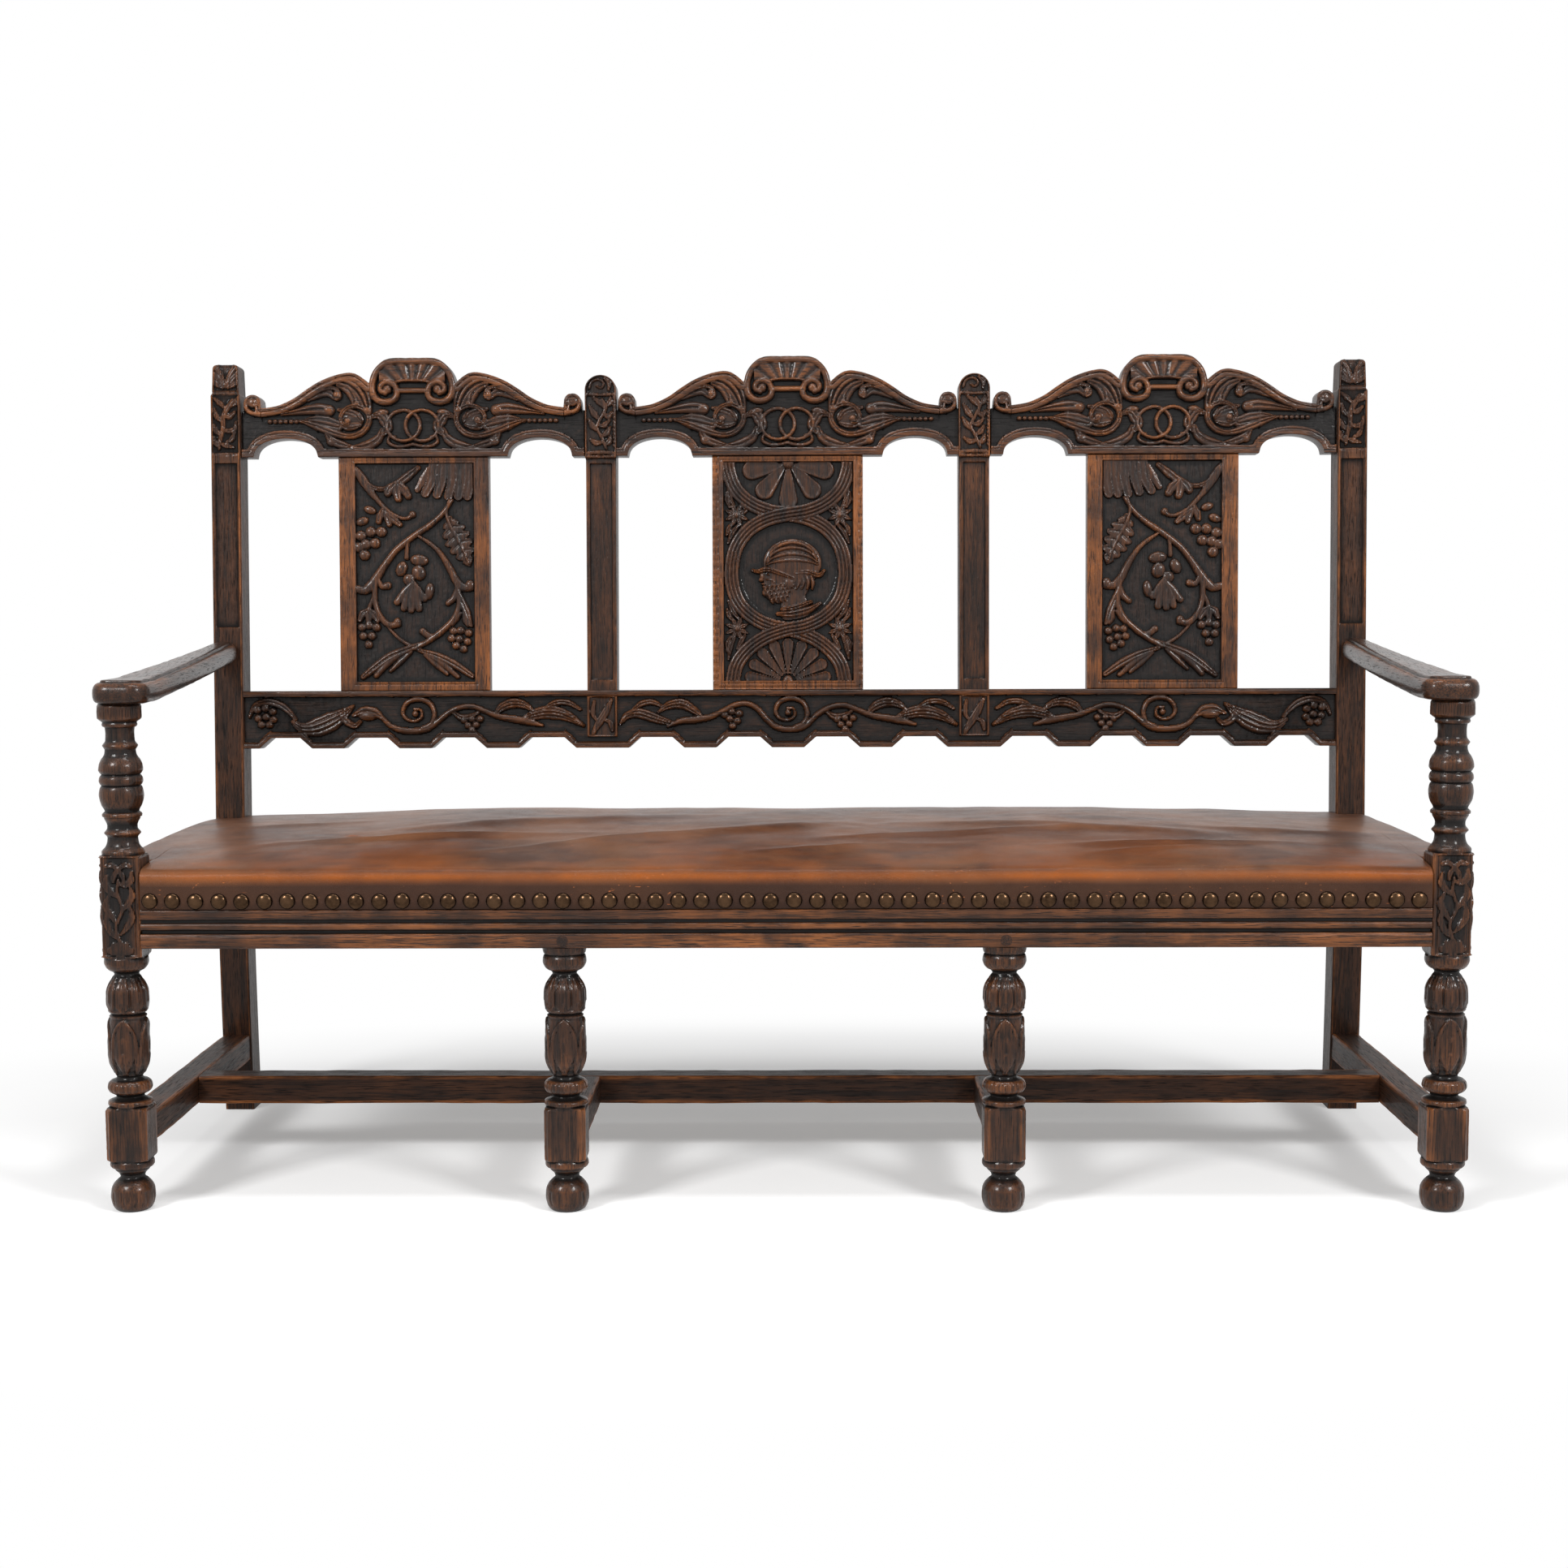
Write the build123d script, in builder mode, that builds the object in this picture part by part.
from build123d import *
import math
import os

# Hall bench in carved oak with a nailed leather seat.
# Millimetres, +Z up, +X along the seat, front towards -Y.
# The origin is on the floor, in the middle of the overall width and depth.

# Overall sizes that the bench is set out from
bench_width = 1738.0          # over the outer faces of the back posts
seat_depth = 532.0            # front leg axes to the front faces of the back posts
crest_top = 1145.0            # floor to the top of the cartouches
middle_leg_spacing = 563.0    # between the axes of the two middle legs
rake_angle = 2.9              # lean of the back, in degrees

# Fits and cuts
fit = 0.2                     # play on each side of a tenon
end_gap = 1.0                 # room at the end of a tenon
soft_gap = 0.3                # room between soft pieces and what they touch
overrun = 5.0                 # how far a cut runs past the wood

# Front posts: ball foot, square block, vase, square block, arm turning
block_size = 53.0
block_proud = 2.5             # how far the leg blocks stand out past the back posts
block_chamfer = 2.5
foot_height = 66.0
low_block_height = 71.0
vase_height = 194.0
high_block_height = 132.0
arm_turning_height = 193.0
turning_radius = 28.0
arm_turning_radius = 27.5
turning_sides = 16            # facets round each turned length

# Middle legs: the same foot, block and vase, with a cap under the rail
cap_radius = 28.5

# Eight-sided tenons on top of the turned pieces, and the pegs
spigot_radius = 12.0
peg_sides = 8
arm_spigot_length = 17.0
leg_spigot_length = 36.0
peg_radius = 7.5
peg_length = 36.0
peg_height = 9.5              # above the underside of the rail

# Back posts
back_post_width = 44.0
back_post_depth = 48.0
foot_kick = 16.0              # how far the foot stands back
kick_height = 330.0           # the post is plumb above this height
rake_start = 437.0            # the post leans back above this height
bend_radius = 600.0
finial_base = 1090.0
post_top = 1137.0
finial_neck = 4.0
finial_neck_inset = 1.6
finial_draw = 3.0             # how far each side of the finial draws in
finial_round = 6.0
foot_chamfer = 4.0
field_bottom = 740.0          # sunk field on the front of the outer posts
field_top = 988.0
field_border = 4.5
field_depth = 3.0

# Seat frame
rail_bottom = 344.0
rail_height = 80.0
front_rail_depth = 50.0
side_rail_thickness = 30.0
side_rail_inset = 3.0         # from the outer face of the back post to the rail
rear_rail_thickness = 30.0
rear_rail_inset = 13.0        # from the front face of the back post to the rail
rail_tenon_length = 28.0
rail_tenon_height = 60.0
rail_tenon_thickness = 12.0
moulding_projection = 2.0     # mouldings stand out past the leather's seat on the rail
band_height = 18.0
groove_height = 2.4
groove_depth = 3.5
reed_height = 12.0
quirk_height = 4.0
upper_band_height = 13.0

# Bearers and corner blocks under the seat
bearer_width = 60.0
bearer_height = 32.0
bearer_drop = 12.0            # below the top of the rails
bearer_tenon_length = 14.0
bearer_tenon_height = 18.0
bearer_tenon_width = 44.0
corner_leg = 76.0
corner_tip = 31.0
corner_height = 60.0
corner_drop = 17.0

# Stretchers
stretcher_bottom = 79.0
stretcher_height = 39.0
stretcher_width = 40.0
side_stretcher_inset = 2.0    # from the outer face of the back post
long_stretcher_y = 270.0      # behind the front leg axes
stretcher_tenon_length = 22.0
stretcher_tenon_height = 24.0
stretcher_tenon_thickness = 12.0
stretcher_easing = 2.0

# Seat
webbing_width = 60.0
webbing_thickness = 1.2
webbing_rows = 9
webbing_runs = 3
webbing_margin = 8.0          # webbing stops this far inside the frame's outer faces
leather_thickness = 2.4
skirt_bottom = 394.5          # lower edge of the leather on the rails
seat_front_height = 445.0
seat_middle_height = 473.0
seat_back_height = 463.0
side_drop = 18.0              # how much lower the crown is at the two ends
back_drop_share = 0.25        # how much of that the back edge takes part in
side_ease = 6.0               # rounding of the seat's end edges
seat_corner = 10.0            # rounding of the front and back edges
leather_clearance = 0.6       # round the posts
stuffing_bottom_gap = 0.3
back_overlap = 0.4            # play between the leather and the rails

# Nails
nail_radius = 10.0
nail_height = 5.0
nail_sides = 6
nail_rim = 1.5                # upright rim of a head
nail_crown = 4.0              # how far the dome draws in
nail_pitch = 29.2
nail_line = 405.0

# Arms
arm_front_width = 73.0
arm_rear_width = 38.0
arm_overhang = 38.0           # ahead of the front leg axes
arm_outer_overhang = 4.0      # past the outer face of the back post, in front
arm_body = 27.0
arm_field_rise = 3.0
arm_rim = 9.0
arm_rise = 34.0               # how much higher the rear end is
arm_level_length = 70.0       # level stretch over the post
arm_bend_radius = 160.0
arm_nose_radius = 22.0
arm_edge = 5.0                # worn edges, all round
arm_tenon_length = 24.0
arm_tenon_width = 24.0
arm_tenon_height = 14.0

# Lower back rail
lower_rail_top = 645.0
lower_rail_bottom = 558.0
lower_rail_depth = 34.0
lower_rail_set_back = 2.0
scallop_height = 16.0
scallop_slope = 18.0          # length along the rail that each slant takes
lobes_per_bay = 3
stile_lobe_width = 97.0
post_lobe_width = 32.0
carved_rim = 9.0
ground_depth = 6.0
back_tenon_length = 22.0
back_tenon_thickness = 10.0
lower_rail_tenon_height = 44.0

# Inner stiles
stile_spacing = 562.0
stile_width = 45.0
stile_depth = 38.0
stile_set_back = 4.0
stile_head_width = 47.0
stile_head_proud = 4.0
stile_head_bottom = 993.0
stile_top = 1118.0
stile_field_border = 9.0
stile_tenon_length = 26.0
stile_tenon_width = 30.0

# Crest rails
crest_bottom = 997.0
crest_depth = 32.0
crest_set_back = 3.0
cartouche_half_width = 65.0
cartouche_radius = 36.0
cartouche_height = 69.0
cartouche_rise = 4.0
cartouche_rim = 8.0
volute_radius = 13.0
volute_inset = 17.5
volute_height_share = 0.54
dip_share = 0.507
arch_foot = 20.0
arch_width = 97.0
arch_height = 28.0
crest_tenon_height = 40.0
crest_tenon_offset = 12.0
crest_stile_tenon_length = 17.0   # shorter, as two of them meet in a stile
# Points of the swept top, as shares of the half width and of the crest's height
junction_shares = (0.246, 0.73)
shoulder_shares = (0.373, 0.855)
brow_shares = (0.558, 0.747)
fall_shares = (0.673, 0.615)
hollow_shares = (0.75, 0.54)
dip_end_share = 0.85

# Back panels
panel_width = 227.0
panel_thickness = 22.0
panel_set_back = 8.0
panel_side_border = 26.0
panel_end_border = 16.0
panel_ground_depth = 6.0
panel_tongue_length = 10.0
panel_tongue_thickness = 9.0
panel_tongue_shoulder = 12.0
fan_petals = 5
fan_spread = 90.0             # angle between the outer petals, in degrees
fan_radius = 70.0
fan_petal_width = 13.0
fan_side_angle = 88.0         # slope of the petals' sides, in degrees
fan_rise = 3.0
fan_gap = 3.0
roundel_share = 0.50          # height of the medallion's centre, of the panel
roundel_radius = 58.0
roundel_width = 10.0
roundel_rise = 5.0

# Steps of the turnings: shares of the height and of the radius
foot_shares = (
    (0.00, 0.80), (0.16, 1.00), (0.40, 0.95), (0.66, 0.55), (0.86, 0.98), (1.00, 0.98),
)
vase_shares = (
    (0.00, 0.98), (0.04, 0.98), (0.065, 0.64), (0.10, 0.98), (0.165, 0.98), (0.195, 0.57),
    (0.31, 0.95), (0.58, 0.96), (0.62, 0.76), (0.68, 1.00), (0.80, 0.95), (0.885, 0.55),
    (0.94, 0.98), (1.00, 0.98),
)
arm_turning_shares = (
    (0.00, 0.98), (0.11, 0.69), (0.145, 0.84), (0.18, 0.70), (0.25, 0.91), (0.29, 0.78),
    (0.40, 1.00), (0.455, 0.90), (0.50, 1.00), (0.535, 0.89), (0.57, 1.00), (0.69, 0.68),
    (0.87, 0.66), (0.90, 0.98), (1.00, 0.98),
)
cap_shares = ((0.00, 0.93), (1.00, 1.00))
corner_bulge_share = 0.25
# Crown of the seat along its length: shares of the half length, and of the crown that is left
crown_shares = ((0.0, 1.0), (0.35, 0.96), (0.65, 0.8), (0.88, 0.42), (1.0, 0.0))

# Places worked out from the sizes above
rake = math.radians(rake_angle)
low_block_bottom = foot_height
vase_bottom = foot_height + low_block_height
high_block_bottom = vase_bottom + vase_height
arm_turning_bottom = high_block_bottom + high_block_height
arm_bottom = arm_turning_bottom + arm_turning_height
rail_top = rail_bottom + rail_height
half_block = block_size / 2
front_post_x = bench_width / 2 + block_proud - half_block
back_post_x = bench_width / 2 - back_post_width / 2
middle_leg_x = middle_leg_spacing / 2
stile_x = stile_spacing / 2


def slope(height):
    """Length up the leaning face of the back posts at a height above the floor."""
    return (height - rake_start) / math.cos(rake)


back_reach = seat_depth + slope(finial_base) * math.sin(rake) + back_post_depth * math.cos(rake)
front_y = arm_overhang - (arm_overhang + back_reach) / 2
back_y = front_y + seat_depth
rail_face_y = front_y - half_block + moulding_projection
side_rail_face_x = bench_width / 2 - side_rail_inset
rear_rail_y = back_y + rear_rail_inset
rear_rail_back_y = rear_rail_y + rear_rail_thickness
front_rail_back_y = rail_face_y + front_rail_depth
side_stretcher_x = bench_width / 2 - side_stretcher_inset - stretcher_width / 2
stretcher_z = stretcher_bottom + stretcher_height / 2


def back_plane(depth=0.0, across=0.0):
    """Plane of the leaning back, a depth behind the posts' faces, facing the front."""
    face = Plane(
        origin=(across, back_y, rake_start),
        x_dir=(1, 0, 0),
        z_dir=(0, -math.cos(rake), math.sin(rake)),
    )
    return face.offset(-depth)


def face_y(height, depth=0.0):
    """Depth in the model of the back's leaning face at a height, or of a plane behind it."""
    return back_y + (height - rake_start) * math.tan(rake) + depth / math.cos(rake)


def slope_plane(height, depth, across):
    """Plane square to the slope of the back at a height, looking up the slope."""
    along = slope(height)
    origin = (
        across,
        back_y + along * math.sin(rake) + depth * math.cos(rake),
        rake_start + along * math.cos(rake) - depth * math.sin(rake),
    )
    return Plane(origin=origin, x_dir=(1, 0, 0), z_dir=(0, math.sin(rake), math.cos(rake)))


def tenon(place, width, height, length):
    """A square tenon that stands out of the shoulder at a plane."""
    with BuildSketch(place) as section:
        Rectangle(width, height)
    extrude(section.sketch, amount=length)


def mortise(place, width, height, length):
    """The hole for that tenon, with play round it and room at its end."""
    with BuildSketch(place) as section:
        Rectangle(width + 2 * fit, height + 2 * fit)
    extrude(section.sketch, amount=length + end_gap, mode=Mode.SUBTRACT)


def spigot(place, radius, length):
    """An eight-sided tenon or peg that stands up from a plane."""
    with BuildSketch(place) as section:
        RegularPolygon(radius, peg_sides)
    extrude(section.sketch, amount=length)


def socket(place, radius, length):
    """The hole for that tenon or peg."""
    with BuildSketch(place) as section:
        RegularPolygon(radius + fit, peg_sides)
    extrude(section.sketch, amount=length + end_gap, mode=Mode.SUBTRACT)


def end_plane(x, y, z, toward, across=(0, 1, 0)):
    """Plane of a shoulder at a point, facing the way that its tenon points."""
    return Plane(origin=(x, y, z), x_dir=across, z_dir=toward)


def turned_form(shares, height, radius):
    """A turned length with even facets, standing on the origin: what is common to its
    silhouette carried straight across in every direction."""
    right_side = [
        (radius_share * radius, height_share * height) for height_share, radius_share in shares
    ]
    left_side = [(-x, z) for x, z in reversed(right_side)]
    directions = turning_sides // 2
    with BuildPart() as form:
        for step in range(directions):
            turn = math.pi * step / directions
            side_view = Plane(
                origin=(0, 0, 0), x_dir=(math.cos(turn), math.sin(turn), 0),
                z_dir=(math.sin(turn), -math.cos(turn), 0),
            )
            with BuildSketch(side_view) as silhouette:
                with BuildLine():
                    Polyline(*right_side, *left_side, close=True)
                make_face()
            how = Mode.ADD if step == 0 else Mode.INTERSECT
            extrude(silhouette.sketch, amount=radius + overrun, both=True, mode=how)
    return form.part


def turning(axis_x, axis_y, form, base):
    """Adds a turned length at an upright axis, on a height."""
    with Locations((axis_x, axis_y, base)):
        add(form)


def square_block(axis_x, axis_y, base, height):
    """A square block of a leg, with its upright corners taken off."""
    with BuildSketch(Plane.XY.offset(base)) as section:
        with Locations((axis_x, axis_y)):
            Rectangle(block_size, block_size)
        chamfer(section.vertices(), block_chamfer)
    extrude(section.sketch, amount=height)


# Shoulders of the joints, facing into the piece that holds the mortise
def front_rail_shoulder(side):
    rail_y = rail_face_y + front_rail_depth / 2
    return end_plane(
        side * (front_post_x - half_block), rail_y, rail_bottom + rail_height / 2, (side, 0, 0)
    )


def side_rail_shoulder(side, toward):
    rail_x = side * (side_rail_face_x - side_rail_thickness / 2)
    rail_y = front_y + half_block if toward < 0 else back_y
    middle = rail_bottom + rail_height / 2
    return end_plane(rail_x, rail_y, middle, (0, toward, 0), (1, 0, 0))


def rear_rail_shoulder(side):
    return end_plane(
        side * (back_post_x - back_post_width / 2),
        rear_rail_y + rear_rail_thickness / 2,
        rail_bottom + rail_height / 2,
        (side, 0, 0),
    )


def foot_face_y(height):
    """Depth of the back post's front face below the seat, where it is kicked back."""
    return back_y + foot_kick * max(0.0, 1 - height / kick_height)


def side_stretcher_shoulder(side, toward):
    rear_y = foot_face_y(stretcher_bottom + stretcher_height)
    shoulder_y = front_y + half_block if toward < 0 else rear_y
    return end_plane(side * side_stretcher_x, shoulder_y, stretcher_z, (0, toward, 0), (1, 0, 0))


def long_stretcher_shoulder(side):
    inner_x = side_stretcher_x - stretcher_width / 2
    return end_plane(side * inner_x, front_y + long_stretcher_y, stretcher_z, (side, 0, 0))


def short_stretcher_shoulder(side, toward):
    near_y = front_y + half_block
    far_y = front_y + long_stretcher_y - stretcher_width / 2
    shoulder_y = near_y if toward < 0 else far_y
    return end_plane(side * middle_leg_x, shoulder_y, stretcher_z, (0, toward, 0), (1, 0, 0))


def bearer_shoulder(side, toward):
    shoulder_y = front_rail_back_y if toward < 0 else rear_rail_y
    middle = rail_top - bearer_drop - bearer_height / 2
    return end_plane(side * middle_leg_x, shoulder_y, middle, (0, toward, 0), (1, 0, 0))


def arm_shoulder(side):
    middle = arm_bottom + arm_rise + arm_body / 2
    arm_x = side * (bench_width / 2 - arm_rear_width / 2)
    centre = (arm_x, face_y(middle), middle)
    return Plane(origin=centre, x_dir=(1, 0, 0), z_dir=(0, math.cos(rake), -math.sin(rake)))


def back_joint_shoulder(x, side, height, depth):
    """Shoulder of a tenon in the leaning back, facing sideways."""
    along = slope(height)
    origin = (
        x,
        back_y + along * math.sin(rake) + depth * math.cos(rake),
        rake_start + along * math.cos(rake) - depth * math.sin(rake),
    )
    return Plane(origin=origin, x_dir=(0, math.cos(rake), -math.sin(rake)), z_dir=(side, 0, 0))


post_inner_x = back_post_x - back_post_width / 2
lower_rail_middle = (lower_rail_top + lower_rail_bottom + scallop_height) / 2
lower_rail_centre_depth = lower_rail_set_back + lower_rail_depth / 2
crest_centre_depth = crest_set_back + crest_depth / 2
stile_centre_depth = stile_set_back + stile_depth / 2
panel_centre_depth = panel_set_back + panel_thickness / 2
crest_tenon_middle = crest_bottom + crest_tenon_offset + crest_tenon_height / 2


def lower_rail_shoulder(side):
    return back_joint_shoulder(side * post_inner_x, side, lower_rail_middle, lower_rail_centre_depth)


def crest_shoulder(x, side):
    return back_joint_shoulder(x, side, crest_tenon_middle, crest_centre_depth)


# Bays of the back: middle and half width of each crest rail
side_bay_left = post_inner_x
side_bay_right = stile_x + stile_head_width / 2
side_bay_x = (side_bay_left + side_bay_right) / 2
side_bay_half = (side_bay_left - side_bay_right) / 2
centre_bay_half = stile_x - stile_head_width / 2
bays = {
    "left": (-side_bay_x, side_bay_half),
    "centre": (0.0, centre_bay_half),
    "right": (side_bay_x, side_bay_half),
}
sides = {"left": -1, "right": 1}
pieces = []


def finish(piece, label):
    """Names a piece and keeps it for the list that is written out."""
    piece.part.label = label
    pieces.append(piece.part)


# Turned lengths that the posts and legs share
foot_form = turned_form(foot_shares, foot_height, turning_radius)
vase_form = turned_form(vase_shares, vase_height, turning_radius)
arm_form = turned_form(arm_turning_shares, arm_turning_height, arm_turning_radius)
cap_form = turned_form(cap_shares, rail_bottom - high_block_bottom, cap_radius)

# Front posts, each turned from one length of oak
for name, side in sides.items():
    post_x = side * front_post_x
    with BuildPart() as front_post:
        turning(post_x, front_y, foot_form, 0)
        square_block(post_x, front_y, low_block_bottom, low_block_height)
        turning(post_x, front_y, vase_form, vase_bottom)
        square_block(post_x, front_y, high_block_bottom, high_block_height)
        turning(post_x, front_y, arm_form, arm_turning_bottom)
        spigot(Plane((post_x, front_y, arm_bottom)), spigot_radius, arm_spigot_length)
        mortise(
            front_rail_shoulder(side), rail_tenon_thickness, rail_tenon_height, rail_tenon_length
        )
        mortise(
            side_rail_shoulder(side, -1), rail_tenon_thickness, rail_tenon_height,
            half_block - rail_tenon_thickness,
        )
        mortise(
            side_stretcher_shoulder(side, -1), stretcher_tenon_thickness,
            stretcher_tenon_height, stretcher_tenon_length,
        )
    finish(front_post, f"front_post_{name}")

# Middle legs, with a tenon up into the front rail
for name, side in sides.items():
    leg_x = side * middle_leg_x
    with BuildPart() as middle_leg:
        turning(leg_x, front_y, foot_form, 0)
        square_block(leg_x, front_y, low_block_bottom, low_block_height)
        turning(leg_x, front_y, vase_form, vase_bottom)
        turning(leg_x, front_y, cap_form, high_block_bottom)
        spigot(Plane((leg_x, front_y, rail_bottom)), spigot_radius, leg_spigot_length)
        mortise(
            short_stretcher_shoulder(side, -1), stretcher_tenon_thickness,
            stretcher_tenon_height, stretcher_tenon_length,
        )
        peg_mouth = (leg_x, rail_face_y - overrun, rail_bottom + peg_height)
        peg_place = end_plane(*peg_mouth, (0, 1, 0), (1, 0, 0))
        socket(peg_place, peg_radius, peg_length + overrun)
    finish(middle_leg, f"middle_leg_{name}")

# Back posts, from the kicked foot to the tapered finial
for name, side in sides.items():
    post_x = side * back_post_x
    front_line = [
        (back_y + foot_kick, 0),
        (back_y, kick_height),
        (back_y, rake_start),
        (face_y(finial_base), finial_base),
    ]
    rear_line = [
        (back_y + foot_kick + back_post_depth, 0),
        (back_y + back_post_depth, kick_height),
        (back_y + back_post_depth, rake_start),
    ]
    finial_corner = back_plane(back_post_depth).from_local_coords((0, slope(finial_base), 0))
    rear_line.append((finial_corner.Y, finial_corner.Z))
    with BuildPart() as back_post:
        with BuildSketch(Plane.YZ.offset(post_x - back_post_width / 2)):
            with BuildLine():
                FilletPolyline(*front_line, radius=bend_radius)
                FilletPolyline(*rear_line, radius=bend_radius)
                Line(front_line[0], rear_line[0])
                Line(front_line[-1], rear_line[-1])
            make_face()
        extrude(amount=back_post_width)
        floor_edges = back_post.faces().sort_by(Axis.Z)[0].edges()
        chamfer(floor_edges, foot_chamfer)
        with BuildSketch(slope_plane(finial_base, back_post_depth / 2, post_x)):
            Rectangle(
                back_post_width - 2 * finial_neck_inset, back_post_depth - 2 * finial_neck_inset
            )
        extrude(amount=finial_neck)
        finial_height = slope(post_top) - slope(finial_base) - finial_neck
        with BuildSketch(slope_plane(finial_base, back_post_depth / 2, post_x).offset(finial_neck)):
            Rectangle(back_post_width, back_post_depth)
        extrude(amount=finial_height, taper=math.degrees(math.atan(finial_draw / finial_height)))
        top_edges = back_post.faces().sort_by(Axis.Z)[-1].edges()
        fillet(top_edges, finial_round)
        with BuildSketch(back_plane(0, post_x)):
            with Locations((0, (slope(field_bottom) + slope(field_top)) / 2)):
                Rectangle(
                    back_post_width - 2 * field_border, slope(field_top) - slope(field_bottom)
                )
        extrude(amount=-field_depth, mode=Mode.SUBTRACT)
        mortise(
            side_rail_shoulder(side, 1), rail_tenon_thickness, rail_tenon_height,
            rear_rail_inset - end_gap,
        )
        mortise(
            rear_rail_shoulder(side), rail_tenon_thickness, rail_tenon_height, rail_tenon_length
        )
        mortise(
            side_stretcher_shoulder(side, 1), stretcher_tenon_thickness,
            stretcher_tenon_height, stretcher_tenon_length,
        )
        mortise(arm_shoulder(side), arm_tenon_width, arm_tenon_height, arm_tenon_length)
        mortise(
            lower_rail_shoulder(side), back_tenon_thickness, lower_rail_tenon_height,
            back_tenon_length,
        )
        mortise(
            crest_shoulder(side * post_inner_x, side), back_tenon_thickness,
            crest_tenon_height, back_tenon_length,
        )
    finish(back_post, f"back_post_{name}")


def arm_profile(bottom, top):
    """Side view of the arm: level over the post, then rising to the back post."""
    nose_y = front_y - arm_overhang
    level_y = nose_y + arm_level_length
    with BuildLine() as outline:
        FilletPolyline(
            (nose_y, bottom), (level_y, bottom),
            (face_y(bottom + arm_rise), bottom + arm_rise), radius=arm_bend_radius,
        )
        FilletPolyline(
            (nose_y, top), (level_y, top),
            (face_y(top + arm_rise), top + arm_rise), radius=arm_bend_radius,
        )
        Line((nose_y, bottom), (nose_y, top))
        Line((face_y(bottom + arm_rise), bottom + arm_rise), (face_y(top + arm_rise), top + arm_rise))
    make_face(outline.edges())


def arm_plan(inset):
    """Plan of the right arm, wide over the post and tapering to the back."""
    outer_front = bench_width / 2 + arm_outer_overhang - inset
    outer_rear = bench_width / 2 - inset
    inner_front = outer_front - (arm_front_width - 2 * inset)
    inner_rear = outer_rear - (arm_rear_width - 2 * inset)
    nose_y = front_y - arm_overhang + inset
    level_y = front_y - arm_overhang + arm_level_length
    far_y = face_y(arm_bottom + arm_rise + arm_body + arm_field_rise) + overrun
    with BuildLine() as outline:
        Polyline(
            (inner_rear, far_y), (outer_rear, far_y), (outer_front, nose_y),
            (inner_front, nose_y), (inner_front, level_y),
        )
        TangentArc((inner_front, level_y), (inner_rear, far_y), tangent=(0, 1))
    make_face(outline.edges())


# Arms, shaped as a side view crossed with a plan
arm_low = arm_bottom - overrun
arm_high = arm_bottom + arm_rise + arm_body + arm_field_rise + overrun
arm_outer_x = bench_width / 2 + arm_outer_overhang + overrun
arm_inner_x = arm_outer_x - arm_front_width - 2 * overrun
with BuildPart() as arm_field:
    with BuildSketch(Plane.YZ.offset(arm_inner_x)):
        arm_profile(arm_bottom + arm_body / 2, arm_bottom + arm_body + arm_field_rise)
    extrude(amount=arm_outer_x - arm_inner_x)
    with BuildSketch(Plane.XY.offset(arm_low)) as field_plan:
        arm_plan(arm_rim)
        fillet(field_plan.vertices().group_by(Axis.Y)[0], arm_nose_radius - arm_rim)
    extrude(amount=arm_high - arm_low, mode=Mode.INTERSECT)
with BuildPart() as arm_right:
    with BuildSketch(Plane.YZ.offset(arm_inner_x)):
        arm_profile(arm_bottom, arm_bottom + arm_body)
    extrude(amount=arm_outer_x - arm_inner_x)
    with BuildSketch(Plane.XY.offset(arm_low)) as whole_plan:
        arm_plan(0)
        fillet(whole_plan.vertices().group_by(Axis.Y)[0], arm_nose_radius)
    extrude(amount=arm_high - arm_low, mode=Mode.INTERSECT)
    rear_face = arm_right.faces().sort_by(Axis.Y)[-1]
    rim_edges = arm_right.edges() - rear_face.edges() - arm_right.edges().filter_by(Axis.Z)
    chamfer(rim_edges, arm_edge)
    add(arm_field.part)
    tenon(arm_shoulder(1), arm_tenon_width, arm_tenon_height, arm_tenon_length)
    socket(Plane((front_post_x, front_y, arm_bottom)), spigot_radius, arm_spigot_length)
finish(arm_right, "arm_right")
with BuildPart() as arm_left:
    mirror(arm_right.part, about=Plane.YZ)
finish(arm_left, "arm_left")


def rail_section(outward, face, back):
    """Section of a seat rail: moulded below, plain above where the leather lies."""
    proud = face + outward * moulding_projection
    sunk = face - outward * (groove_depth - moulding_projection)
    level_1 = rail_bottom + band_height
    level_2 = level_1 + groove_height
    level_3 = level_2 + reed_height
    level_4 = level_3 + quirk_height
    level_5 = level_4 + upper_band_height
    with BuildLine() as outline:
        Polyline(
            (back, rail_top), (back, rail_bottom), (proud, rail_bottom), (proud, level_1),
            (sunk, level_1), (sunk, level_2),
        )
        ThreePointArc(
            (sunk, level_2), (face, (level_2 + level_3) / 2), (sunk, level_3)
        )
        Polyline(
            (sunk, level_3), (sunk, level_4), (proud, level_4), (proud, level_5),
            (face, level_5), (face, rail_top), (back, rail_top),
        )
    make_face(outline.edges())


# Front seat rail, moulded along its lower edge
front_rail_half = front_post_x - half_block
with BuildPart() as front_seat_rail:
    with BuildSketch(Plane.YZ.offset(-front_rail_half)):
        rail_section(-1, rail_face_y, front_rail_back_y)
    extrude(amount=2 * front_rail_half)
    for side in sides.values():
        tenon(
            front_rail_shoulder(side), rail_tenon_thickness, rail_tenon_height, rail_tenon_length
        )
        socket(Plane((side * middle_leg_x, front_y, rail_bottom)), spigot_radius, leg_spigot_length)
        peg_mouth = (side * middle_leg_x, rail_face_y - overrun, rail_bottom + peg_height)
        peg_place = end_plane(*peg_mouth, (0, 1, 0), (1, 0, 0))
        socket(peg_place, peg_radius, peg_length + overrun)
        mortise(bearer_shoulder(side, -1), bearer_tenon_width, bearer_tenon_height, bearer_tenon_length)
finish(front_seat_rail, "front_seat_rail")

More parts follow.
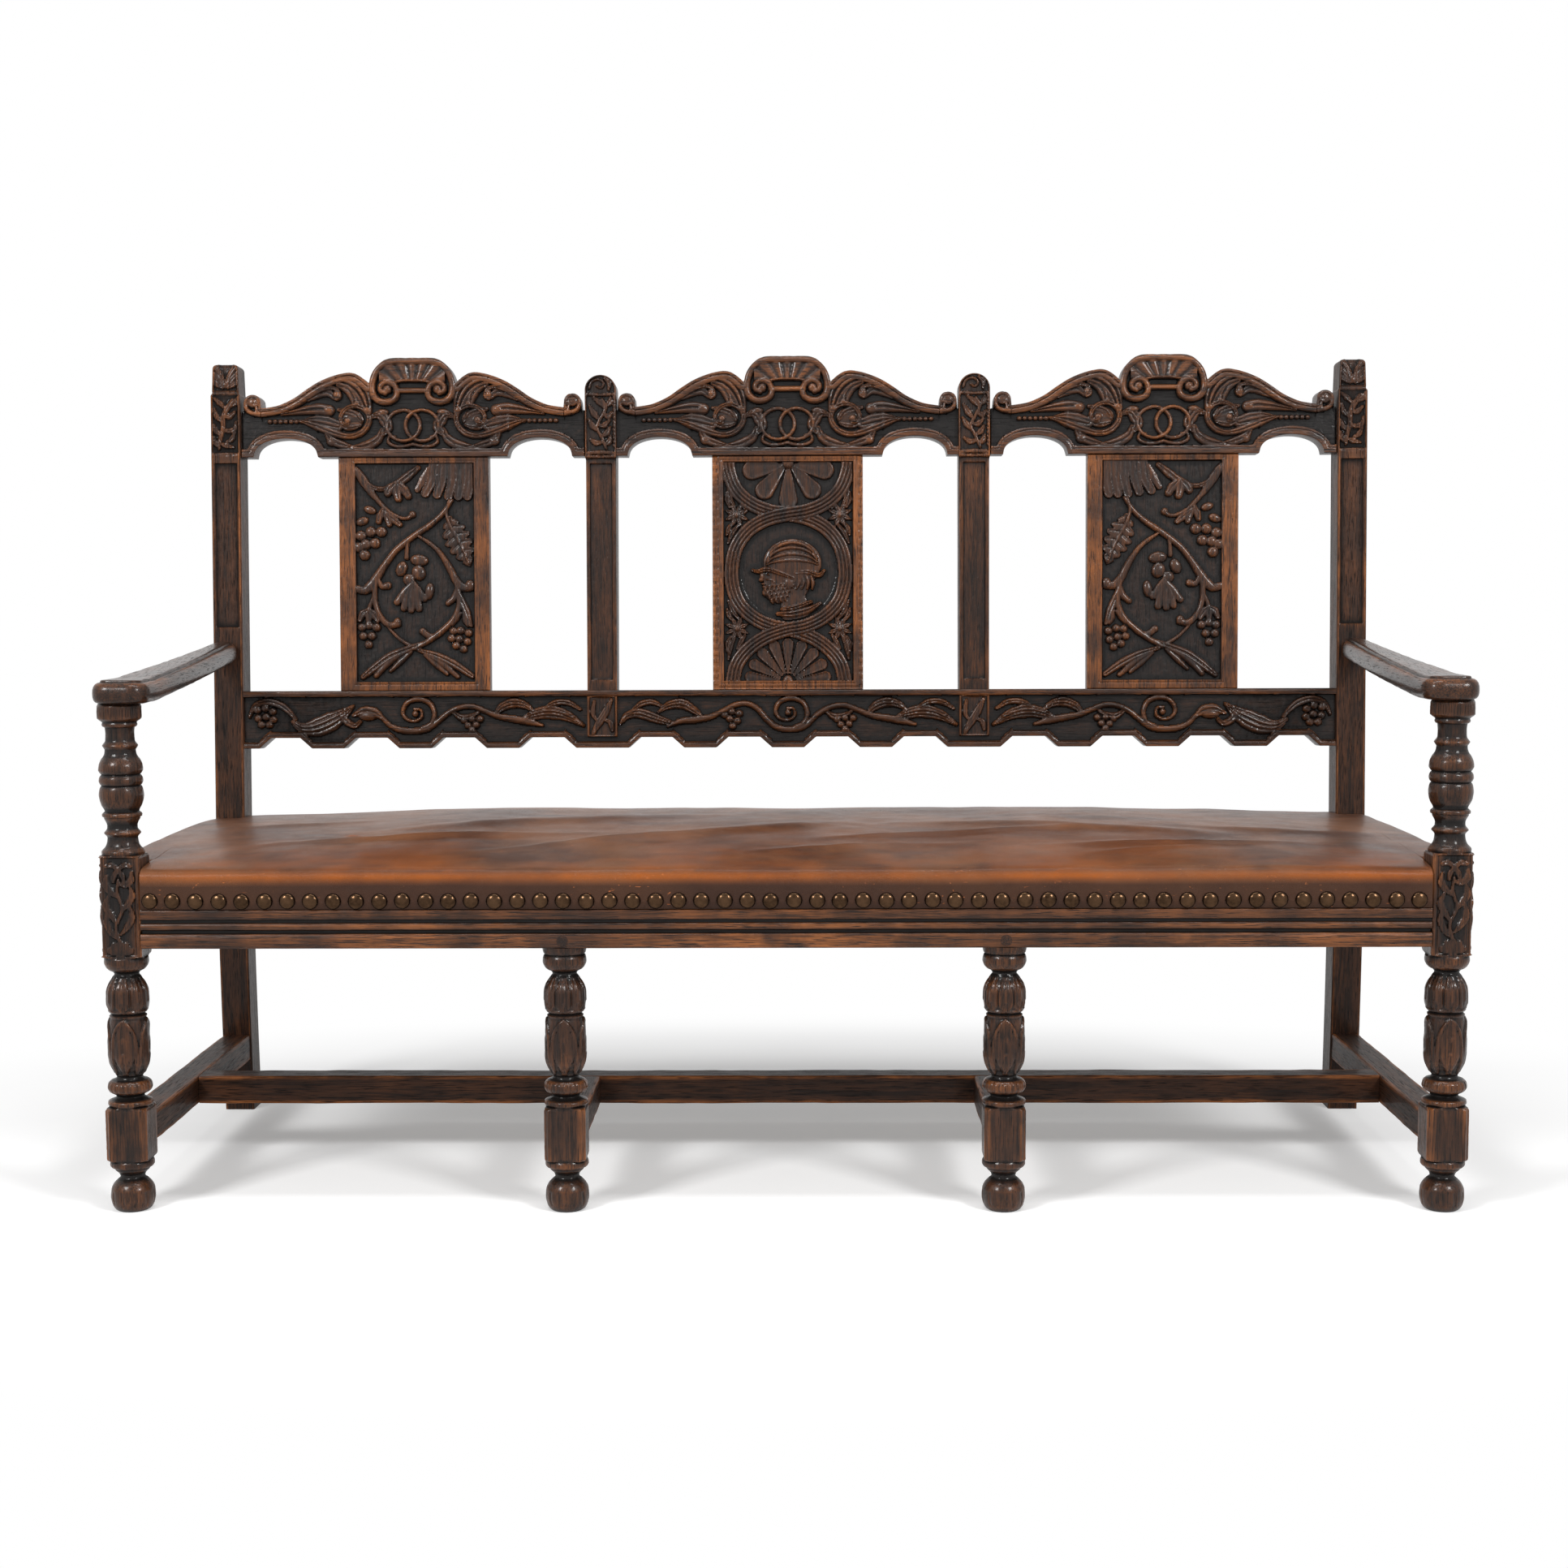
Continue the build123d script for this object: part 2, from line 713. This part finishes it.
# Pegs that pin the middle legs in the rail
with BuildPart() as leg_pegs:
    for side in sides.values():
        peg_head = (side * middle_leg_x, rail_face_y - moulding_projection, rail_bottom + peg_height)
        peg_face = end_plane(*peg_head, (0, 1, 0), (1, 0, 0))
        spigot(peg_face, peg_radius, peg_length)
finish(leg_pegs, "leg_pegs")

# Side seat rails, with the same moulding on their outer faces
for name, side in sides.items():
    face_x = side * side_rail_face_x
    back_x = side * (side_rail_face_x - side_rail_thickness)
    rail_start = front_y + half_block
    with BuildPart() as side_seat_rail:
        with BuildSketch(Plane(origin=(0, rail_start, 0), x_dir=(1, 0, 0), z_dir=(0, -1, 0))):
            rail_section(side, face_x, back_x)
        extrude(amount=-(back_y - rail_start))
        tenon(
            side_rail_shoulder(side, -1), rail_tenon_thickness, rail_tenon_height,
            half_block - rail_tenon_thickness,
        )
        tenon(
            side_rail_shoulder(side, 1), rail_tenon_thickness, rail_tenon_height,
            rear_rail_inset - end_gap,
        )
    finish(side_seat_rail, f"side_seat_rail_{name}")

# Rear seat rail, plain
with BuildPart() as rear_seat_rail:
    with BuildSketch(Plane.YZ.offset(-post_inner_x)):
        with Locations((rear_rail_y + rear_rail_thickness / 2, rail_bottom + rail_height / 2)):
            Rectangle(rear_rail_thickness, rail_height)
    extrude(amount=2 * post_inner_x)
    for side in sides.values():
        tenon(rear_rail_shoulder(side), rail_tenon_thickness, rail_tenon_height, rail_tenon_length)
        mortise(bearer_shoulder(side, 1), bearer_tenon_width, bearer_tenon_height, bearer_tenon_length)
finish(rear_seat_rail, "rear_seat_rail")

# Cross bearers between the long rails
for name, side in sides.items():
    with BuildPart() as seat_bearer:
        with BuildSketch(bearer_shoulder(side, -1)):
            Rectangle(bearer_width, bearer_height)
        extrude(amount=-(rear_rail_y - front_rail_back_y))
        for toward in (-1, 1):
            tenon(
                bearer_shoulder(side, toward), bearer_tenon_width,
                bearer_tenon_height, bearer_tenon_length,
            )
    finish(seat_bearer, f"seat_bearer_{name}")

# Glued blocks in the corners of the seat frame
side_rail_inner_x = side_rail_face_x - side_rail_thickness
with BuildPart() as corner_blocks:
    for side in sides.values():
        for corner_y, inward in ((front_rail_back_y, 1), (rear_rail_y, -1)):
            corner_x = side * side_rail_inner_x
            with BuildSketch(Plane.XY.offset(rail_top - corner_drop - corner_height)):
                with BuildLine():
                    Polyline(
                        (corner_x - side * corner_leg, corner_y),
                        (corner_x - side * corner_tip, corner_y),
                        (corner_x, corner_y + inward * corner_tip),
                        (corner_x, corner_y + inward * corner_leg),
                        close=True,
                    )
                make_face()
            extrude(amount=corner_height)
finish(corner_blocks, "corner_blocks")

# Side stretchers between front and back posts, cut to the slope of the kicked foot
kick_angle = math.atan(foot_kick / kick_height)
kick_plane = Plane(
    origin=(0, back_y, kick_height),
    x_dir=(1, 0, 0),
    z_dir=(0, -math.cos(kick_angle), -math.sin(kick_angle)),
)
for name, side in sides.items():
    start = side_stretcher_shoulder(side, -1)
    stretcher_run = foot_face_y(0) - start.origin.Y
    with BuildPart() as side_stretcher:
        with BuildSketch(start) as section:
            Rectangle(stretcher_width, stretcher_height)
            chamfer(section.vertices(), stretcher_easing)
        extrude(amount=-stretcher_run)
        split(bisect_by=kick_plane, keep=Keep.TOP)
        for toward in (-1, 1):
            tenon(
                side_stretcher_shoulder(side, toward), stretcher_tenon_thickness,
                stretcher_tenon_height, stretcher_tenon_length,
            )
        mortise(
            long_stretcher_shoulder(side), stretcher_tenon_thickness,
            stretcher_tenon_height, stretcher_tenon_length,
        )
    finish(side_stretcher, f"side_stretcher_{name}")

# Long stretcher between the side stretchers
with BuildPart() as long_stretcher:
    with BuildSketch(long_stretcher_shoulder(-1)) as section:
        Rectangle(stretcher_width, stretcher_height)
        chamfer(section.vertices(), stretcher_easing)
    extrude(amount=-2 * (side_stretcher_x - stretcher_width / 2))
    for side in sides.values():
        tenon(
            long_stretcher_shoulder(side), stretcher_tenon_thickness,
            stretcher_tenon_height, stretcher_tenon_length,
        )
        mortise(
            short_stretcher_shoulder(side, 1), stretcher_tenon_thickness,
            stretcher_tenon_height, stretcher_tenon_length,
        )
finish(long_stretcher, "long_stretcher")

# Short stretchers from the middle legs back to the long one
for name, side in sides.items():
    start = short_stretcher_shoulder(side, -1)
    stretcher_run = short_stretcher_shoulder(side, 1).origin.Y - start.origin.Y
    with BuildPart() as short_stretcher:
        with BuildSketch(start) as section:
            Rectangle(stretcher_width, stretcher_height)
            chamfer(section.vertices(), stretcher_easing)
        extrude(amount=-stretcher_run)
        for toward in (-1, 1):
            tenon(
                short_stretcher_shoulder(side, toward), stretcher_tenon_thickness,
                stretcher_tenon_height, stretcher_tenon_length,
            )
    finish(short_stretcher, f"short_stretcher_{name}")


def lobed_edge(bottom, top):
    """Points of the lower rail's stepped edge, from left to right, shifted by a rim if wanted."""
    points = []

    def lobe(left, right):
        points.append((left - scallop_slope / 2, top))
        points.append((left + scallop_slope / 2, bottom))
        points.append((right - scallop_slope / 2, bottom))
        points.append((right + scallop_slope / 2, top))

    stile_half = stile_lobe_width / 2
    runs = (
        (-post_inner_x + post_lobe_width, -stile_x - stile_half),
        (-stile_x + stile_half, stile_x - stile_half),
        (stile_x + stile_half, post_inner_x - post_lobe_width),
    )
    points.append((-post_inner_x, bottom))
    points.append((runs[0][0] - scallop_slope / 2, bottom))
    points.append((runs[0][0] + scallop_slope / 2, top))
    for index, (start, stop) in enumerate(runs):
        element = (stop - start) / (2 * lobes_per_bay + 1)
        for count in range(lobes_per_bay):
            left = start + (2 * count + 1) * element
            lobe(left, left + element)
        if index < len(runs) - 1:
            lobe(stop, runs[index + 1][0])
    points.append((runs[-1][1] - scallop_slope / 2, top))
    points.append((runs[-1][1] + scallop_slope / 2, bottom))
    points.append((post_inner_x, bottom))
    return points


def stile_tenon_place(side):
    """Shoulder of the stile on the lower rail, facing down the slope."""
    place = slope_plane(lower_rail_top, stile_centre_depth, side * stile_x)
    return Plane(origin=place.origin, x_dir=(1, 0, 0), z_dir=-place.z_dir)


def panel_place(height, upward, across):
    """Edge of a panel where its tongue starts, facing out of the panel."""
    place = slope_plane(height, panel_centre_depth, across)
    return Plane(origin=place.origin, x_dir=(1, 0, 0), z_dir=upward * place.z_dir)


panel_tongue_width = panel_width - 2 * panel_tongue_shoulder

# Lower back rail: one carved board with a stepped edge
rail_v_bottom = slope(lower_rail_bottom)
rail_v_notch = slope(lower_rail_bottom + scallop_height)
rail_v_top = slope(lower_rail_top)
with BuildPart() as lower_back_rail:
    with BuildSketch(back_plane(lower_rail_set_back)) as rail_outline:
        with BuildLine():
            edge = lobed_edge(rail_v_bottom, rail_v_notch)
            Polyline(*edge)
            Polyline(edge[-1], (post_inner_x, rail_v_top), (-post_inner_x, rail_v_top), edge[0])
        make_face()
    extrude(amount=-lower_rail_depth)
    with BuildSketch(back_plane(lower_rail_set_back)):
        add(rail_outline.sketch_local)
        offset(amount=-carved_rim, mode=Mode.REPLACE)
        for side in sides.values():
            with Locations((side * stile_x, (rail_v_bottom + rail_v_top) / 2)):
                Rectangle(
                    stile_head_width, rail_v_top - rail_v_bottom, mode=Mode.SUBTRACT
                )
    extrude(amount=-ground_depth, mode=Mode.SUBTRACT)
    for side in sides.values():
        tenon(
            lower_rail_shoulder(side), back_tenon_thickness, lower_rail_tenon_height,
            back_tenon_length,
        )
        mortise(stile_tenon_place(side), stile_tenon_width, back_tenon_thickness, stile_tenon_length)
    for bay_x, bay_half in bays.values():
        mortise(
            panel_place(lower_rail_top, -1, bay_x), panel_tongue_width,
            panel_tongue_thickness, panel_tongue_length,
        )
finish(lower_back_rail, "lower_back_rail")

# Inner stiles, with a round-topped carved head between the crest rails
head_v_bottom = slope(stile_head_bottom)
head_radius = stile_head_width / 2
head_v_spring = slope(stile_top) - head_radius
for name, side in sides.items():
    with BuildPart() as inner_stile:
        with BuildSketch(back_plane(stile_set_back, side * stile_x)):
            with Locations((0, (slope(lower_rail_top) + head_v_bottom) / 2)):
                Rectangle(stile_width, head_v_bottom - slope(lower_rail_top))
        extrude(amount=-stile_depth)
        with BuildSketch(back_plane(stile_set_back - stile_head_proud, side * stile_x)):
            with Locations((0, (head_v_bottom + head_v_spring) / 2)):
                Rectangle(stile_head_width, head_v_spring - head_v_bottom)
            with Locations((0, head_v_spring)):
                Circle(head_radius)
        extrude(amount=-stile_depth - stile_head_proud)
        with BuildSketch(back_plane(stile_set_back, side * stile_x)):
            with Locations((0, (slope(lower_rail_top) + head_v_bottom) / 2)):
                Rectangle(
                    stile_width - 2 * stile_field_border,
                    head_v_bottom - slope(lower_rail_top) - 2 * stile_field_border,
                )
        extrude(amount=-field_depth, mode=Mode.SUBTRACT)
        tenon(stile_tenon_place(side), stile_tenon_width, back_tenon_thickness, stile_tenon_length)
        for toward in (-1, 1):
            mortise(
                crest_shoulder(side * stile_x + toward * head_radius, -toward),
                back_tenon_thickness, crest_tenon_height, crest_stile_tenon_length,
            )
    finish(inner_stile, f"inner_stile_{name}")


def crest_outline(half):
    """Front view of a crest rail: cartouche, shoulders, volutes and arched underside."""
    low = slope(crest_bottom)
    high = slope(crest_top)
    rise = high - low

    def at(shares):
        return (shares[0] * half, low + shares[1] * rise)

    dip = low + dip_share * rise
    volute = (half - volute_inset, low + volute_height_share * rise)
    reach = math.sqrt(volute_radius ** 2 - (volute[1] - dip) ** 2)
    arch_outer = half - arch_foot
    arch_inner = arch_outer - arch_width
    round_x = cartouche_half_width - cartouche_radius
    diagonal = cartouche_radius / math.sqrt(2)
    with BuildLine() as outline:
        Line((0, high), (round_x, high))
        ThreePointArc(
            (round_x, high),
            (round_x + diagonal, high - cartouche_radius + diagonal),
            (cartouche_half_width, high - cartouche_radius),
        )
        Line((cartouche_half_width, high - cartouche_radius), at(junction_shares))
        ThreePointArc(at(junction_shares), at(shoulder_shares), at(brow_shares))
        Line(at(brow_shares), at(fall_shares))
        ThreePointArc(at(fall_shares), at(hollow_shares), (dip_end_share * half, dip))
        Line((dip_end_share * half, dip), (volute[0] - reach, dip))
        ThreePointArc(
            (volute[0] - reach, dip), (volute[0], volute[1] + volute_radius), (volute[0] + reach, dip)
        )
        Line((volute[0] + reach, dip), (half, dip))
        Line((half, dip), (half, low))
        Line((half, low), (arch_outer, low))
        ThreePointArc(
            (arch_outer, low), ((arch_outer + arch_inner) / 2, low + arch_height), (arch_inner, low)
        )
        Line((arch_inner, low), (0, low))
        mirror(about=Plane.YZ)
    make_face(outline.edges())


# Crest rails with raised rim and cartouche
for name, (bay_x, bay_half) in bays.items():
    ends_in_stile = {-1: bay_x - bay_half > -post_inner_x + overrun}
    ends_in_stile[1] = bay_x + bay_half < post_inner_x - overrun
    cartouche_v = slope(crest_top) - cartouche_height / 2
    with BuildPart() as crest:
        with BuildSketch(back_plane(crest_set_back, bay_x)) as outline:
            crest_outline(bay_half)
        extrude(amount=-crest_depth)
        with BuildSketch(back_plane(crest_set_back, bay_x)):
            add(outline.sketch_local)
            offset(amount=-carved_rim, mode=Mode.REPLACE)
        extrude(amount=-ground_depth, mode=Mode.SUBTRACT)
        with BuildSketch(back_plane(crest_set_back + ground_depth, bay_x)):
            with Locations((0, cartouche_v)):
                SlotOverall(2 * cartouche_half_width, cartouche_height)
        extrude(amount=ground_depth + cartouche_rise)
        with BuildSketch(back_plane(crest_set_back - cartouche_rise, bay_x)):
            with Locations((0, cartouche_v)):
                SlotOverall(
                    2 * (cartouche_half_width - cartouche_rim), cartouche_height - 2 * cartouche_rim
                )
        extrude(amount=-ground_depth, mode=Mode.SUBTRACT)
        for toward in (-1, 1):
            length = crest_stile_tenon_length if ends_in_stile[toward] else back_tenon_length
            tenon(
                crest_shoulder(bay_x + toward * bay_half, toward), back_tenon_thickness,
                crest_tenon_height, length,
            )
        mortise(
            panel_place(crest_bottom, 1, bay_x), panel_tongue_width,
            panel_tongue_thickness, panel_tongue_length,
        )
    finish(crest, f"crest_{name}")

# Back panels with a raised border, and a fan or a round medallion on the sunk ground
panel_v_low = slope(lower_rail_top)
panel_v_high = slope(crest_bottom)
panel_v_middle = (panel_v_low + panel_v_high) / 2
ground_width = panel_width - 2 * panel_side_border
ground_height = panel_v_high - panel_v_low - 2 * panel_end_border
ground_top = panel_v_high - panel_end_border
for name, (bay_x, bay_half) in bays.items():
    ground_plane = back_plane(panel_set_back + panel_ground_depth, bay_x)
    with BuildPart() as panel:
        with BuildSketch(back_plane(panel_set_back, bay_x)):
            with Locations((0, panel_v_middle)):
                Rectangle(panel_width, panel_v_high - panel_v_low)
        extrude(amount=-panel_thickness)
        with BuildSketch(back_plane(panel_set_back, bay_x)):
            with Locations((0, panel_v_middle)):
                Rectangle(ground_width, ground_height)
        extrude(amount=-panel_ground_depth, mode=Mode.SUBTRACT)
        if name == "centre":
            with BuildSketch(ground_plane):
                with Locations((0, panel_v_low + roundel_share * (panel_v_high - panel_v_low))):
                    Circle(roundel_radius)
                    Circle(roundel_radius - roundel_width, mode=Mode.SUBTRACT)
            extrude(amount=roundel_rise)
        else:
            inner = -1 if bay_x > 0 else 1
            corner = (inner * (ground_width / 2 - fan_gap), ground_top - fan_gap)
            first_angle = -fan_spread if inner < 0 else 2 * fan_spread
            with BuildSketch(ground_plane):
                with Locations(corner):
                    with PolarLocations(
                        fan_radius / 2, fan_petals, first_angle, fan_spread, endpoint=True
                    ):
                        Trapezoid(
                            fan_radius, fan_petal_width, fan_side_angle, rotation=fan_spread
                        )
                with Locations((0, panel_v_middle)):
                    Rectangle(ground_width, ground_height, mode=Mode.INTERSECT)
            extrude(amount=fan_rise)
        for height, upward in ((lower_rail_top, -1), (crest_bottom, 1)):
            tenon(
                panel_place(height, upward, bay_x), panel_tongue_width,
                panel_tongue_thickness, panel_tongue_length,
            )
    finish(panel, f"panel_{name}")

# Webbing over the seat frame: cross strips, and long strips laid on them
web_half_length = side_rail_face_x - webbing_margin
web_front_y = rail_face_y + webbing_margin
web_back_y = rear_rail_back_y - webbing_margin
cross_span = 2 * (post_inner_x - webbing_width)
cross_pitch = cross_span / (webbing_rows - 1)
long_span = (back_y - webbing_width) - (front_y + half_block + webbing_width)
long_pitch = long_span / (webbing_runs - 1)
with BuildPart() as seat_webbing:
    with BuildSketch(Plane.XY.offset(rail_top)):
        with Locations((0, (web_front_y + web_back_y) / 2)):
            with GridLocations(cross_pitch, 0, webbing_rows, 1):
                Rectangle(webbing_width, web_back_y - web_front_y)
    extrude(amount=webbing_thickness)
    with BuildSketch(Plane.XY.offset(rail_top + webbing_thickness)):
        with Locations((0, (front_y + half_block + back_y) / 2)):
            with GridLocations(0, long_pitch, 1, webbing_runs):
                Rectangle(2 * web_half_length, webbing_width)
    extrude(amount=webbing_thickness)
finish(seat_webbing, "seat_webbing")


def seat_section(crown, inset, ease, bottom):
    """Cross section of the crowned seat: upright sides, rounded edges and an arched top."""
    front = rail_face_y - leather_thickness - back_overlap + inset
    back = rear_rail_back_y + leather_thickness + back_overlap - inset
    front_top = seat_front_height - inset - ease
    back_top = seat_back_height - inset - ease - back_drop_share * side_drop * (1 - crown)
    middle_top = seat_middle_height - inset - ease - side_drop * (1 - crown)
    middle = (front + back) / 2
    corner = seat_corner - inset
    with BuildLine() as outline:
        Polyline(
            (front, front_top - corner), (front, bottom), (back, bottom), (back, back_top - corner)
        )
        SagittaArc((front, front_top - corner), (front + corner, front_top), -corner_bulge_share * corner)
        ThreePointArc((front + corner, front_top), (middle, middle_top), (back - corner, back_top))
        SagittaArc((back - corner, back_top), (back, back_top - corner), -corner_bulge_share * corner)
    make_face(outline.edges())


def seat_form(inset, bottom):
    """The crowned seat, lofted along its length through sections that sink towards the ends."""
    half = side_rail_face_x + leather_thickness + back_overlap - inset
    eased = half - side_ease
    stations = [(share * eased, crown, 0.0) for share, crown in crown_shares]
    stations.append((half, 0.0, side_ease))
    mirrored = [(-x, crown, ease) for x, crown, ease in reversed(stations[1:])]
    sections = []
    for x, crown, ease in mirrored + stations:
        with BuildSketch(Plane.YZ.offset(x)) as section:
            seat_section(crown, inset, ease, bottom)
        sections.append(section.sketch)
    loft(sections, ruled=True)


def seat_notches(clearance):
    """Cuts the seat round the four posts."""
    high = seat_middle_height + overrun
    reach = 2 * block_size
    with BuildSketch(Plane.XY.offset(rail_bottom)) as corners:
        for side in sides.values():
            front_corner_x = front_post_x - half_block - clearance
            front_corner_y = front_y + half_block + clearance
            back_corner_x = post_inner_x - clearance
            back_corner_y = back_y - clearance
            with Locations((side * (front_corner_x + reach / 2), front_corner_y - reach / 2)):
                Rectangle(reach, reach)
            with Locations((side * (back_corner_x + reach / 2), back_corner_y + reach / 2)):
                Rectangle(reach, reach)
    extrude(corners.sketch, amount=high - rail_bottom, mode=Mode.SUBTRACT)


# Stuffing, crowned like the leather over it
stuffing_bottom = rail_top + 2 * webbing_thickness + stuffing_bottom_gap
with BuildPart() as seat_stuffing:
    seat_form(leather_thickness + back_overlap + soft_gap, stuffing_bottom)
    seat_notches(leather_clearance + leather_thickness)
finish(seat_stuffing, "seat_stuffing")

# Leather cover, turned down over the rails on all four sides
with BuildPart() as hollow:
    seat_form(leather_thickness, skirt_bottom - overrun)
with BuildPart() as seat_leather:
    seat_form(0.0, skirt_bottom)
    add(hollow.part, mode=Mode.SUBTRACT)
    seat_notches(leather_clearance)
finish(seat_leather, "seat_leather")


def nail_row(heads_built, place, length):
    """A centred row of nail heads on the face of the leather, each a faceted dome."""
    count = int((length - 2 * nail_radius) / nail_pitch) + 1
    with BuildSketch(place) as heads:
        with GridLocations(nail_pitch, 0, count, 1):
            RegularPolygon(nail_radius, nail_sides)
    extrude(heads.sketch, amount=nail_height)
    crowns = heads_built.faces().group_by(Axis(place.origin, place.z_dir))[-1]
    chamfer(crowns.edges(), nail_height - nail_rim, nail_crown)


# Domed nails along the lower edge of the leather, in front and at both sides
leather_front_y = rail_face_y - leather_thickness - back_overlap
leather_side_x = side_rail_face_x + leather_thickness + back_overlap
with BuildPart() as nails_front:
    nail_row(
        nails_front,
        Plane(origin=(0, leather_front_y, nail_line), x_dir=(1, 0, 0), z_dir=(0, -1, 0)),
        2 * front_rail_half,
    )
finish(nails_front, "nails_front")
side_nail_middle = (front_y + half_block + back_y) / 2
for name, side in sides.items():
    with BuildPart() as nails_side:
        nail_row(
            nails_side,
            Plane(
                origin=(side * leather_side_x, side_nail_middle, nail_line),
                x_dir=(0, side, 0), z_dir=(side, 0, 0),
            ),
            back_y - front_y - half_block,
        )
    finish(nails_side, f"nails_{name}")

os.makedirs("parts", exist_ok=True)
for piece in pieces:
    export_step(piece, f"parts/{piece.label}.step")
